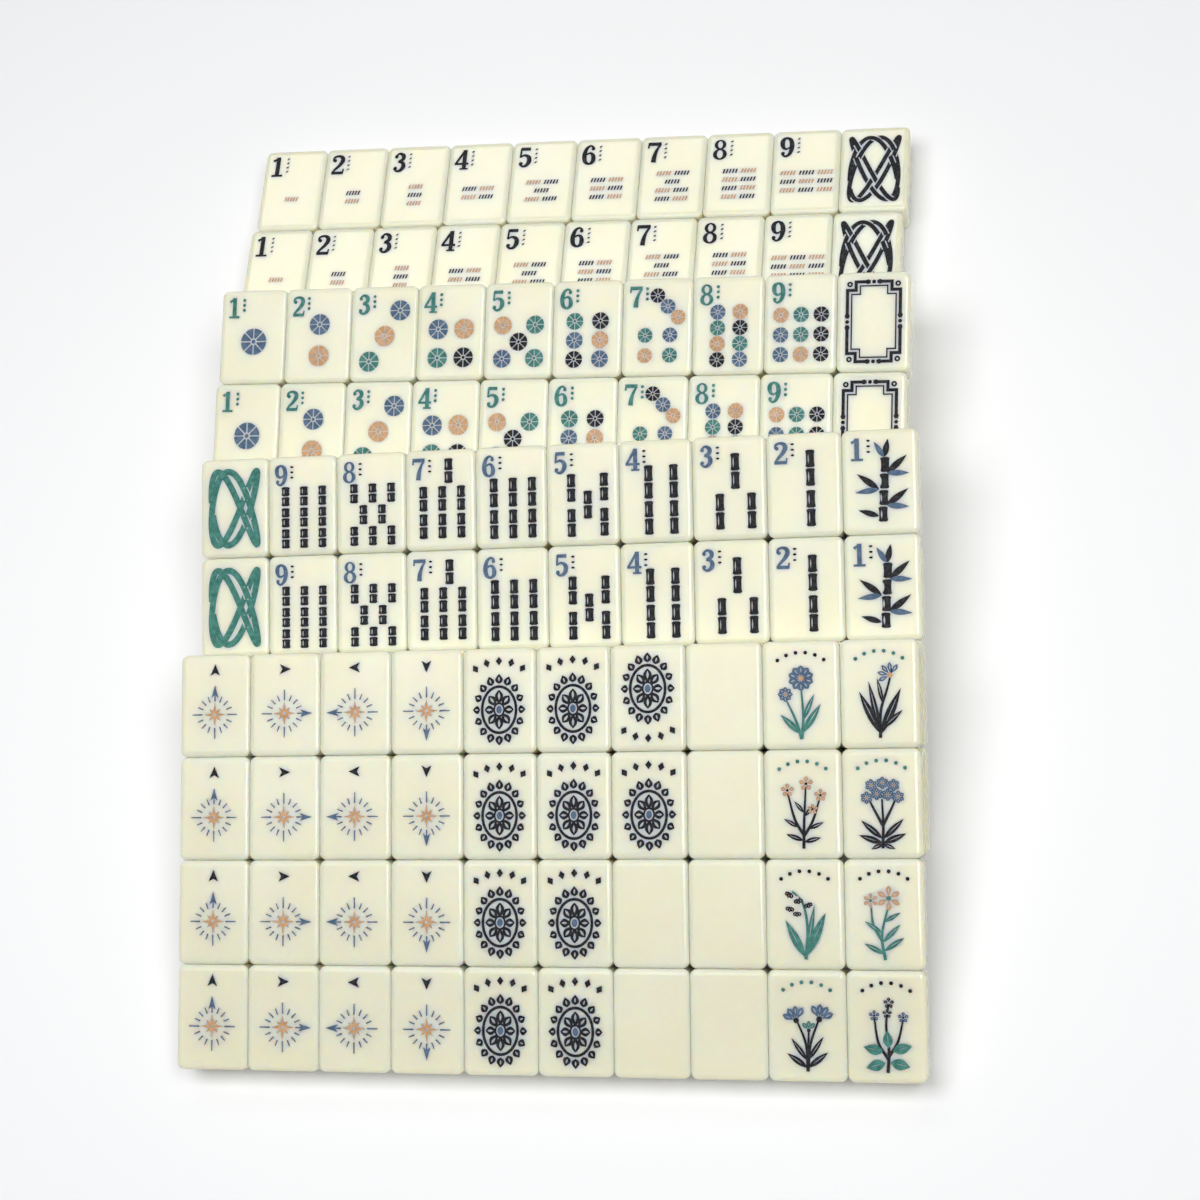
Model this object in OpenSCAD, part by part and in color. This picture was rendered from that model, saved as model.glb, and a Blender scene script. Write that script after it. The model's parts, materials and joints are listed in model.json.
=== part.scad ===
// A mahjong set of 160 tiles in four slabs of ten columns by four rows.
// The crak slab lies flat. The dot, bam and honour slabs each stand with their front lower edge on the
// table and lean back on the slab behind. +X is to the right, +Y away from the player, +Z up.

/* [Tile] */
// Width of a tile
tile_w = 21.5; // [18:0.5:26]
// Length of a tile
tile_l = 30; // [26:0.5:36]
// Thickness of a tile
tile_t = 13; // [10:0.5:16]
// Radius of the upright corners
corner_r = 2.2; // [1.4:0.1:3.5]
// Radius along the edges of the face and the back
edge_r = 1.3; // [0.6:0.1:2]

/* [Slabs] */
// Gap between neighbouring tiles
tile_gap = 0.1; // [0.05:0.05:0.5]
// Tile lengths from the foot of the crak slab forward to the foot of the dot slab
dot_step_share = 2; // [1.75:0.005:2.25]
// Tile lengths from the foot of the dot slab forward to the foot of the bam slab
bam_step_share = 1.815; // [1.65:0.005:2.15]
// Tile lengths from the foot of the bam slab forward to the foot of the honour slab
honour_step_share = 2.085; // [1.8:0.005:2.25]
// Gap left between a leaning slab and the slab that carries it
lean_gap = 0.1; // [0.05:0.05:0.5]

/* [Untidiness] */
// How far the dot slab stands to the right of the crak slab
dot_shift = 4.3; // [0:0.1:8]
// How far the bam slab stands to the right of the crak slab
bam_shift = 12.1; // [6:0.1:18]
// How far the honour slab stands to the right of the crak slab
honour_shift = 13.7; // [6:0.1:20]
// Turn of the dot slab, in degrees
dot_turn = 0.3; // [0:0.1:2]
// Turn of the bam slab, in degrees
bam_turn = 2.4; // [0:0.1:4]
// Turn of the honour slab, in degrees
honour_turn = 2.3; // [0:0.1:4]
// How far the front rows of the crak slab have slid to the left of its back row
crak_slip = 1.4; // [0:0.1:3]
// How far the front rows of the dot slab have slid to the left of its back row
dot_slip = 0.8; // [0:0.1:3]

/* [Hidden] */
$fn = 48;
columns = 10;
rows = 4;
top_number = 9;
winds = ["north", "east", "west", "south"];
ivory = [0.95, 0.93, 0.85];

// The slabs by place, from the back
CRAK = 0;
DOT = 1;
BAM = 2;
HONOUR = 3;
SLABS = [CRAK, DOT, BAM, HONOUR];

pitch_x = tile_w + tile_gap;
pitch_y = tile_l + tile_gap;
slab_w = columns * pitch_x - tile_gap;
slab_l = rows * pitch_y - tile_gap;

// The foot of a slab is the centre of the rounding along its front lower edge
dot_foot_y = -dot_step_share * tile_l;
bam_foot_y = dot_foot_y - bam_step_share * tile_l;
honour_foot_y = bam_foot_y - honour_step_share * tile_l;
foot_ys = [0, dot_foot_y, bam_foot_y, honour_foot_y];
shifts = [0, dot_shift, bam_shift, honour_shift];
turns = [0, dot_turn, bam_turn, honour_turn];
slips = [crak_slip, dot_slip, 0, 0];

function foot(slab) = [foot_ys[slab], edge_r];

// Two slabs turned differently come nearest at one end: how much nearer than at their middles
function turn_reach(slab) =
  (slab_w / 2 + slips[slab - 1] + abs(shifts[slab] - shifts[slab - 1]))
  * abs(sin(turns[slab] - turns[slab - 1]));

// Lean of a slab on the one behind, which itself leans by the angle behind. It rests on that slab's front
// upper edge or, where that slab is the steeper, with its own back edge on that slab's faces.
function lean(slab, behind) =
  let (
    brow = foot(slab - 1) + (tile_t - 2 * edge_r) * [-sin(behind), cos(behind)],
    run = brow - foot(slab) - [turn_reach(slab), 0],
    seat = 2 * edge_r + lean_gap,
    on_edge = atan2(run.y, run.x) + asin(seat / norm(run)),
    climb = seat - sin(behind) * run.x + cos(behind) * run.y,
    on_back = behind + asin(climb / (slab_l - 2 * edge_r))
  )
  max(on_edge, on_back);

function leans(slab = CRAK, found = []) =
  slab > HONOUR ? found
  : leans(slab + 1, concat(found, slab == CRAK ? 0 : lean(slab, found[slab - 1])));

tilts = leans();

// A point of a slab in the set: x from the slab's middle, y back from its front, z up from its underside
function turned(angle, p) = [p.x * cos(angle) - p.y * sin(angle), p.x * sin(angle) + p.y * cos(angle), p.z];
function tilted(angle, p) = [p.x, p.y * cos(angle) - p.z * sin(angle), p.y * sin(angle) + p.z * cos(angle)];
function in_set(slab, p) =
  [shifts[slab], foot(slab).x, foot(slab).y]
  + turned(turns[slab], tilted(tilts[slab], p - [0, edge_r, edge_r]));

// The origin is below the middle of the set
corners = [
  for (slab = SLABS, x = [-slab_w / 2 - slips[slab], slab_w / 2], y = [0, slab_l], z = [0, tile_t])
    in_set(slab, [x, y, z])
];
xs = [for (p = corners) p.x];
ys = [for (p = corners) p.y];
middle = [(min(xs) + max(xs)) / 2, (min(ys) + max(ys)) / 2];

// Column and row of each single tile of the honour slab, counted from the back left
joker_column = len(winds);
blank_column = joker_column + 2;
flower_column = blank_column + 2;
joker_blank_split = 2;
joker_places = concat(
  [for (c = [joker_column, joker_column + 1], r = [0:rows - 1]) [c, r]],
  [for (r = [0:joker_blank_split - 1]) [blank_column, r]]
);
blank_places = concat(
  [for (r = [joker_blank_split:rows - 1]) [blank_column, r]],
  [for (r = [0:rows - 1]) [blank_column + 1, r]]
);
flower_places = [for (c = [flower_column, flower_column + 1], r = [0:rows - 1]) [c, r]];

// A rectangle with round corners, about the origin
module round_rect(size, r) {
  square([size.x - 2 * r, size.y], center = true);
  square([size.x, size.y - 2 * r], center = true);
  for (x = [-1, 1], y = [-1, 1])
    translate([x * (size.x / 2 - r), y * (size.y / 2 - r)]) circle(r);
}

// One tile, about the middle of its underside: where its three round-cornered outlines meet
module tile() {
  color(ivory)
    translate([0, 0, tile_t / 2])
      intersection() {
        linear_extrude(tile_t, center = true) round_rect([tile_w, tile_l], corner_r);
        rotate([90, 0, 0]) linear_extrude(tile_l, center = true) round_rect([tile_w, tile_t], edge_r);
        rotate([90, 0, 90]) linear_extrude(tile_w, center = true) round_rect([tile_l, tile_t], edge_r);
      }
}

// Puts a slab's own coordinates where the slab stands
module stand(slab) {
  translate([shifts[slab] - middle.x, foot(slab).x - middle.y, foot(slab).y])
    rotate([tilts[slab], 0, turns[slab]])
      translate([0, -edge_r, -edge_r])
        children();
}

// The tile in one place of a slab. Rows count from the back, and all but the back row have slid
module tile_at(slab, column, row) {
  x = (column - (columns - 1) / 2) * pitch_x - (row > 0 ? slips[slab] : 0);
  y = slab_l - tile_l / 2 - row * pitch_y;
  stand(slab) translate([x, y, 0]) tile();
}

// The four alike tiles of one column
module column_of_tiles(slab, column) {
  for (row = [0:rows - 1])
    tile_at(slab, column, row);
}

module crak_tiles(number) { column_of_tiles(CRAK, number - 1); }

module black_dragon_tiles() { column_of_tiles(CRAK, columns - 1); }

module dot_tiles(number) { column_of_tiles(DOT, number - 1); }

module white_dragon_tiles() { column_of_tiles(DOT, columns - 1); }

// The bams run down from left to right
module bam_tiles(number) { column_of_tiles(BAM, columns - number); }

module green_dragon_tiles() { column_of_tiles(BAM, 0); }

module wind_tiles(column) { column_of_tiles(HONOUR, column); }

module joker_tile(number) { tile_at(HONOUR, joker_places[number - 1].x, joker_places[number - 1].y); }

module blank_tile(number) { tile_at(HONOUR, blank_places[number - 1].x, blank_places[number - 1].y); }

module flower_tile(number) { tile_at(HONOUR, flower_places[number - 1].x, flower_places[number - 1].y); }

for (n = [1:top_number]) {
  crak_tiles(n);
  dot_tiles(n);
  bam_tiles(n);
}
black_dragon_tiles();
white_dragon_tiles();
green_dragon_tiles();
for (c = [0:len(winds) - 1])
  wind_tiles(c);
for (n = [1:len(joker_places)])
  joker_tile(n);
for (n = [1:len(blank_places)])
  blank_tile(n);
for (n = [1:len(flower_places)])
  flower_tile(n);
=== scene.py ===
"""Looks of a mahjong set: ivory tiles with engraved faces, and the enamel that fills the engraving.

A tile's own coordinates are in millimetres: x to the right of its face, y up the face, z out of it, from the
middle of its underside. The meshes are in metres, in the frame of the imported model.
"""

import json
import logging
import math
from collections.abc import Iterator, Sequence
from dataclasses import dataclass, field
from enum import Enum

import bpy
import numpy as np
from mathutils import Matrix, Vector
from mathutils.geometry import delaunay_2d_cdt

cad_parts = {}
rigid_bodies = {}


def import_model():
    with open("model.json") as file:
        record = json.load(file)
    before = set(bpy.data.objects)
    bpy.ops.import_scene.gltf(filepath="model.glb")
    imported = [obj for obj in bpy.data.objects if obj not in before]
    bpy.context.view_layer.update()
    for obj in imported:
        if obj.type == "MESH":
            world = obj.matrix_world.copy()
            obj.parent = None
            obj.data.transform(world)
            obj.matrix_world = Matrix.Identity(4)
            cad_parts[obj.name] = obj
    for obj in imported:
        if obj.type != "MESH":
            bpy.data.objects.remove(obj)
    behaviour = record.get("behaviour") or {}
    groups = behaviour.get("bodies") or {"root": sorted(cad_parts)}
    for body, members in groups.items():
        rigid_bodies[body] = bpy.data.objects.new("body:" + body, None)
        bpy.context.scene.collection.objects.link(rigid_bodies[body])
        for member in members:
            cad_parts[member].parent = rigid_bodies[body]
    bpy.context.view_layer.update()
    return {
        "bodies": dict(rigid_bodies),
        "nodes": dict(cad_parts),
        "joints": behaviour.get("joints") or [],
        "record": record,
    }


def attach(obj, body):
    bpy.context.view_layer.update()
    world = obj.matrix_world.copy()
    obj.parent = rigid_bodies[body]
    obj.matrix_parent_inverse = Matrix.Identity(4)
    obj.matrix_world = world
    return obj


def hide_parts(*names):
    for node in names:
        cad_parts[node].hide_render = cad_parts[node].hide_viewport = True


log = logging.getLogger("mahjong_set")

MM = 0.001
WELD = 1e9  # steps to the metre: corners of a piece that agree to a nanometre become one vertex
SOLID_WELD = 1e6  # corners of a solid that agree to a micrometre are one corner
WAY_DIGITS = 2  # digits by which the directions of a solid's triangles are told apart
SQUARE = 0.05  # greatest cosine between two directions that count as square to each other
STRETCH_POINTS = 5  # points on a stroke's line for each stretch between two of its rows
CUT_WHOLE = 0  # asks for all the triangles of a cut face
CUT_EPSILON = 1e-5  # points of a face's outlines that are nearer than this, in millimetres, are one

Array = np.ndarray
Point = Sequence[float]
Pair = tuple[float, float]
Colour = tuple[float, float, float]

WHITE = (1.0, 1.0, 1.0, 1.0)


class Enamel(Enum):
    """The enamel colours in the engraving."""

    BLACK = "black"
    BLUE = "blue"
    TEAL = "teal"
    TAN = "tan"


ENAMELS = list(Enamel)


@dataclass(frozen=True)
class Patch:
    """A closed outline on a face and what is inside it.

    Attributes:
        outline: Corners of the outline, N by 2, in millimetres.
        enamel: The enamel inside, or None where ivory is left standing in an engraved place.
    """

    outline: Array
    enamel: Enamel | None


@dataclass(frozen=True)
class Place:
    """Where one tile lies.

    Attributes:
        origin: Middle of the underside, in metres.
        axes: Unit vectors of the tile's x, y and z, as rows.
        size: Width, length and thickness, in millimetres.
    """

    origin: Array
    axes: Array
    size: Array

    def turned(self) -> "Place":
        """The same place with the tile turned half a turn on its back."""
        return Place(self.origin, self.axes * [[-1], [-1], [1]], self.size)


@dataclass(frozen=True)
class Surface:
    """Triangles with their own corners.

    Attributes:
        corners: Places of the corners, F by 3 by 3.
        normals: Shading normals at the corners, F by 3 by 3.
    """

    corners: Array
    normals: Array

    @staticmethod
    def joined(parts: Sequence["Surface"]) -> "Surface":
        """All the parts as one surface."""
        return Surface(
            np.concatenate([p.corners for p in parts]), np.concatenate([p.normals for p in parts])
        )

    def at(self, place: Place) -> "Surface":
        """The surface moved from a tile's own coordinates to where the tile lies."""
        return Surface(self.corners * MM @ place.axes + place.origin, self.normals @ place.axes)


def unit(ways: Array) -> Array:
    """Directions along the last index, made one long."""
    return ways / np.linalg.norm(ways, axis=-1, keepdims=True)


def centred(count: int) -> Array:
    """Numbers one apart, with 0 in the middle of them."""
    return np.arange(count) - (count - 1) / 2


def welded(corners: Array, steps: float) -> tuple[Array, Array]:
    """Finds the corners that meet.

    Args:
        corners: N by 3, in metres.
        steps: Steps to the metre. Corners that agree to a step meet.

    Returns:
        The index of one corner for each place, and the number of each corner's place.
    """
    keys = np.round(corners * steps).astype(np.int64)
    _, first, index = np.unique(keys, axis=0, return_index=True, return_inverse=True)
    return first, index.reshape(-1)


def flat_surface(points: Array, triangles: Array, z: float, up: bool = True) -> Surface:
    """Level triangles.

    Args:
        points: Corners, V by 2.
        triangles: Indices, T by 3, counterclockwise seen from above.
        z: Height of the triangles.
        up: Whether they face up.

    Returns:
        The triangles at that height, facing up or down.
    """
    corners = np.dstack([points[triangles], np.full(triangles.shape, z)])
    normals = np.broadcast_to([0.0, 0.0, 1.0 if up else -1.0], corners.shape)
    return Surface(corners if up else corners[:, ::-1], normals)


def wall_surface(points: Array, edges: Array, low: float, high: float) -> Surface:
    """Upright walls on directed edges, facing to the right of each edge's direction.

    Args:
        points: Corners, V by 2.
        edges: Indices of each edge's ends, E by 2.
        low: Height of the lower rim.
        high: Height of the upper rim.

    Returns:
        Two triangles a wall.
    """
    start, end = points[edges[:, 0]], points[edges[:, 1]]
    along = unit(end - start)
    out = np.column_stack([along[:, 1], -along[:, 0], np.zeros(len(edges))])

    def lifted(p: Array, z: float) -> Array:
        """The points at one height."""
        return np.column_stack([p, np.full(len(p), z)])

    a, b, c, d = lifted(start, low), lifted(end, low), lifted(end, high), lifted(start, high)
    corners = np.concatenate([np.stack([a, b, c], 1), np.stack([a, c, d], 1)])
    normals = np.repeat(np.concatenate([out, out])[:, None], 3, axis=1)
    return Surface(corners, normals)


def grid_surface(places: Array, normals: Array) -> Surface:
    """A grid of places that closes on itself along its second index.

    Args:
        places: Rows by columns by 3.
        normals: The same shape.

    Returns:
        Two triangles a cell, with their corners' own normals.
    """

    def cells(grid: Array) -> Array:
        """Each cell's two triangles, from its four corners."""
        beside = np.roll(grid, -1, axis=1)
        a, b, c, d = grid[:-1], beside[:-1], beside[1:], grid[1:]
        halves = np.concatenate([np.stack([a, b, c], 2), np.stack([a, c, d], 2)])
        return halves.reshape(-1, 3, 3)

    return Surface(cells(places), cells(normals))


def add_object(name: str, data: bpy.types.ID) -> bpy.types.Object:
    """A new object of a mesh, lamp or camera, in the scene."""
    made = bpy.data.objects.new(name, data)
    bpy.context.scene.collection.objects.link(made)
    return made


def wire(tree: bpy.types.NodeTree, node: bpy.types.Node, inputs: dict) -> bpy.types.Node:
    """Sets inputs of a node.

    Args:
        tree: The tree that it is in.
        node: The node.
        inputs: The value to set, or the socket to link, for each input by its name or number.

    Returns:
        The node.
    """
    for name, value in inputs.items():
        if isinstance(value, bpy.types.NodeSocket):
            tree.links.new(value, node.inputs[name])
        else:
            node.inputs[name].default_value = value
    return node


def add_node(tree: bpy.types.NodeTree, kind: str, inputs: dict, **settings: str) -> bpy.types.Node:
    """Adds a shader node.

    Args:
        tree: The tree to add it to.
        kind: Its type, without the prefix that all have.
        inputs: As for wire.
        settings: Its own settings, such as the operation.

    Returns:
        The node.
    """
    node = tree.nodes.new("ShaderNode" + kind)
    for name, value in settings.items():
        setattr(node, name, value)
    return wire(tree, node, inputs)


def mesh_piece(name: str, surface: Surface, material: bpy.types.Material) -> bpy.types.Object:
    """Makes an object of a surface, with corners that meet made one vertex.

    Args:
        name: Name of the piece.
        surface: Its triangles, in metres.
        material: Its finish.

    Returns:
        The object, at the origin.
    """
    corners = surface.corners.reshape(-1, 3)
    first, index = welded(corners, WELD)
    triangles = index.reshape(-1, 3)
    whole = (triangles != np.roll(triangles, 1, axis=1)).all(axis=1)
    triangles, normals = triangles[whole], surface.normals[whole].reshape(-1, 3)
    mesh = bpy.data.meshes.new(name)
    mesh.vertices.add(len(first))
    mesh.vertices.foreach_set("co", corners[first].astype(np.float32).ravel())
    mesh.loops.add(triangles.size)
    mesh.loops.foreach_set("vertex_index", triangles.astype(np.int32).ravel())
    mesh.polygons.add(len(triangles))
    mesh.polygons.foreach_set("loop_start", np.arange(0, triangles.size, 3, dtype=np.int32))
    mesh.polygons.foreach_set("use_smooth", np.ones(len(triangles), bool))
    mesh.update(calc_edges=True)
    mesh.normals_split_custom_set(normals.astype(np.float32))
    mesh.materials.append(material)
    return add_object(name, mesh)


def read_places(node: bpy.types.Object) -> list[Place]:
    """Finds the tiles in a CAD node, from the back of the set to the front.

    Triangles that share corners are one tile: every corner takes the least label among the corners of its
    triangles, until no label changes.

    Args:
        node: The node's object.

    Returns:
        One place a tile.
    """
    mesh = node.data
    mesh.calc_loop_triangles()
    points = np.empty(3 * len(mesh.vertices), np.float32)
    mesh.vertices.foreach_get("co", points)
    triangles = np.empty(3 * len(mesh.loop_triangles), np.int32)
    mesh.loop_triangles.foreach_get("vertices", triangles)
    points = points.reshape(-1, 3)
    first, index = welded(points, SOLID_WELD)
    points, triangles = points[first].astype(float), index[triangles].reshape(-1, 3)
    labels = np.arange(len(points))
    settled = False
    while not settled:
        least = labels[triangles].min(axis=1)
        settled = bool((labels[triangles] == least[:, None]).all())
        np.minimum.at(labels, triangles.ravel(), np.repeat(least, 3))
    tiles = [triangles[labels[triangles[:, 0]] == label] for label in np.unique(labels)]
    return sorted((read_place(points, tile) for tile in tiles), key=lambda p: -p.origin[1])


def read_place(points: Array, triangles: Array) -> Place:
    """Reads a tile's place from its triangles.

    The direction that holds most of its area is its face's, and of those square to that, the one that holds
    most is its long side's.

    Args:
        points: Corners, V by 3, in metres.
        triangles: The tile's triangles, T by 3.

    Returns:
        The place, with the face's side up and the tile's right to the right of the set.
    """
    a, b, c = (points[triangles[:, k]] for k in range(3))
    areas = np.cross(b - a, c - a)
    kinds, index = np.unique(np.round(unit(areas), WAY_DIGITS), axis=0, return_inverse=True)
    totals = np.zeros((len(kinds), 3))
    np.add.at(totals, index.reshape(-1), areas)
    weights = np.linalg.norm(totals, axis=1)
    ways = totals / weights[:, None]
    up = ways[np.argmax(weights * (ways[:, 2] > 0))]
    beside = (np.abs(ways @ up) < SQUARE) & (ways[:, 0] > 0)
    right = ways[np.argmax(weights * beside)]
    right = unit(right - (right @ up) * up)
    axes = np.stack([right, np.cross(up, right), up])
    spans = points[np.unique(triangles)] @ axes.T
    low, high = spans.min(axis=0), spans.max(axis=0)
    middle = (low + high) / 2
    middle[2] = low[2]
    return Place(middle @ axes, axes, (high - low) / MM)


def ellipse(centre: Point, radii: Point, count: int) -> Array:
    """Outline of an ellipse: centre + radii * (cos a, sin a), with a in equal steps."""
    angles = np.arange(count) * 2 * math.pi / count
    return np.asarray(centre) + np.column_stack([np.cos(angles), np.sin(angles)]) * radii


def disc(centre: Point, radius: float, count: int = 16) -> Array:
    """Outline of a disc."""
    return ellipse(centre, (radius, radius), count)


def leaf(base: Point, tip: Point, width: float, count: int = 7, belly: float = 0.5) -> Array:
    """Outline of a leaf or petal from base to tip.

    Its half width is width / 2 * sin(pi s ** k), with s along it and k chosen so that it is widest at belly.

    Args:
        base: Where it starts.
        tip: Where it ends.
        width: Its greatest width.
        count: Points along each side, ends included.
        belly: Share of its length at which it is widest.

    Returns:
        The outline, counterclockwise.
    """
    base, tip = np.asarray(base, float), np.asarray(tip, float)
    along = tip - base
    across = np.array([along[1], -along[0]]) / np.hypot(*along)
    share = np.linspace(0, 1, count)[:, None]
    half = width / 2 * np.sin(math.pi * share ** (math.log(0.5) / math.log(belly)))
    line = base + share * along
    return np.concatenate([line + half * across, (line - half * across)[-2:0:-1]])


def smooth_line(points: Sequence[Point], count: int) -> Array:
    """A smooth line through points: cubics that take their slope at each point from its two neighbours.

    Args:
        points: Points to pass through, with any number of columns.
        count: Points on the line.

    Returns:
        The line's points, with the same columns.
    """
    p = np.asarray(points, float)
    p = np.concatenate([[2 * p[0] - p[1]], p, [2 * p[-1] - p[-2]]])
    t = np.linspace(0, len(p) - 3, count)
    i = np.minimum(t.astype(int), len(p) - 4)
    u = (t - i)[:, None]
    a, b, c, d = p[i], p[i + 1], p[i + 2], p[i + 3]
    return 0.5 * (2 * b + (c - a) * u + (2 * a - 5 * b + 4 * c - d) * u**2 + (3 * b - a - 3 * c + d) * u**3)


def ribbon(line: Array) -> Array:
    """Outline of a stroke: each point of the line moved square to it by half its width, on both sides.

    Args:
        line: Columns x, y and width.

    Returns:
        The outline, out on one side and back on the other.
    """
    way = unit(np.gradient(line[:, :2], axis=0))
    across = np.column_stack([-way[:, 1], way[:, 0]]) * line[:, 2:3] / 2
    return np.concatenate([line[:, :2] - across, (line[:, :2] + across)[::-1]])


def stroke(points: Sequence[Point], count: int = 0) -> Array:
    """Outline of a brush stroke.

    Args:
        points: Rows of x, y and width. Two rows make a straight stroke.
        count: Points on its line, or 0 for STRETCH_POINTS to each stretch between two rows.

    Returns:
        The outline.
    """
    stretches = len(points) - 1
    return ribbon(smooth_line(points, count or (2 if stretches == 1 else STRETCH_POINTS * stretches + 1)))


def moved(outline: Array, offset: Point = (0, 0), turn: float = 0.0, scale: float = 1.0) -> Array:
    """An outline made larger, turned about the origin by an angle in degrees, and then shifted."""
    c, s = math.cos(math.radians(turn)), math.sin(math.radians(turn))
    return scale * outline @ np.array([[c, s], [-s, c]]) + offset


def grid(xs: Point, ys: Point) -> list[Pair]:
    """Places in rows: every x at the first y, then at the next."""
    return [(x, y) for y in ys for x in xs]


def filled(outlines: Sequence[Array], enamel: Enamel | None) -> list[Patch]:
    """The outlines as patches of one enamel."""
    return [Patch(outline, enamel) for outline in outlines]


def wound_round(points: Array, outline: Array) -> Array:
    """Which points an outline winds round, by the winding number.

    Args:
        points: N by 2.
        outline: M by 2.

    Returns:
        N truths.
    """
    inside = np.zeros(len(points), bool)
    near = ((points >= outline.min(axis=0)) & (points <= outline.max(axis=0))).all(axis=1)
    x, y = points[near, 0:1], points[near, 1:2]
    a, b = outline, np.roll(outline, -1, axis=0)
    side = (b[:, 0] - a[:, 0]) * (y - a[:, 1]) - (x - a[:, 0]) * (b[:, 1] - a[:, 1])
    rising = (a[:, 1] <= y) & (b[:, 1] > y) & (side > 0)
    falling = (a[:, 1] > y) & (b[:, 1] <= y) & (side < 0)
    inside[near] = (rising.sum(axis=1) - falling.sum(axis=1)) != 0
    return inside


@dataclass(frozen=True)
class Engraving:
    """A face cut into triangles along its patches.

    Attributes:
        points: Corners, V by 2.
        triangles: Indices, T by 3, counterclockwise.
        fills: What each triangle holds: 0 for ivory, or 1 + the place of an enamel in ENAMELS.
    """

    points: Array
    triangles: Array
    fills: Array

    @staticmethod
    def cut(border: Array, patches: Sequence[Patch]) -> "Engraving":
        """Cuts a face along the outlines of its patches. A later patch lies over an earlier one.

        Args:
            border: Outline of the face, which is convex.
            patches: What is engraved, in order.

        Returns:
            The triangles and what each holds.
        """
        rings = [border, *(patch.outline for patch in patches)]
        counts = [len(ring) for ring in rings]
        starts = np.repeat(np.cumsum([0, *counts[:-1]]), counts)
        places = np.arange(len(starts))
        ends = starts + (places - starts + 1) % np.repeat(counts, counts)
        points, _, faces, *_ = delaunay_2d_cdt(
            [Vector(p) for p in np.concatenate(rings)],
            np.column_stack([places, ends]).tolist(),
            [],
            CUT_WHOLE,
            CUT_EPSILON,
        )
        points = np.array([p[:] for p in points])
        triangles = np.array(faces)
        a, b, c = (points[triangles[:, k]] for k in range(3))
        area = np.cross(b - a, c - a)
        triangles[area < 0] = triangles[area < 0][:, ::-1]
        middles = points[triangles].mean(axis=1)
        fills = np.zeros(len(triangles), int)
        for patch in patches:
            fill = 0 if patch.enamel is None else 1 + ENAMELS.index(patch.enamel)
            fills[wound_round(middles, patch.outline)] = fill
        return Engraving(points, triangles, fills)

    def rim(self, chosen: Array) -> Array:
        """Edges round the chosen triangles, with the chosen ones on the left of each edge's direction.

        Args:
            chosen: T truths.

        Returns:
            Indices of the edges' ends, E by 2.
        """
        picked = self.triangles[chosen]
        edges = np.concatenate([picked[:, [0, 1]], picked[:, [1, 2]], picked[:, [2, 0]]])
        keys = edges[:, 0] * len(self.points) + edges[:, 1]
        back = edges[:, 1] * len(self.points) + edges[:, 0]
        return edges[~np.isin(back, keys)]


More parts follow.
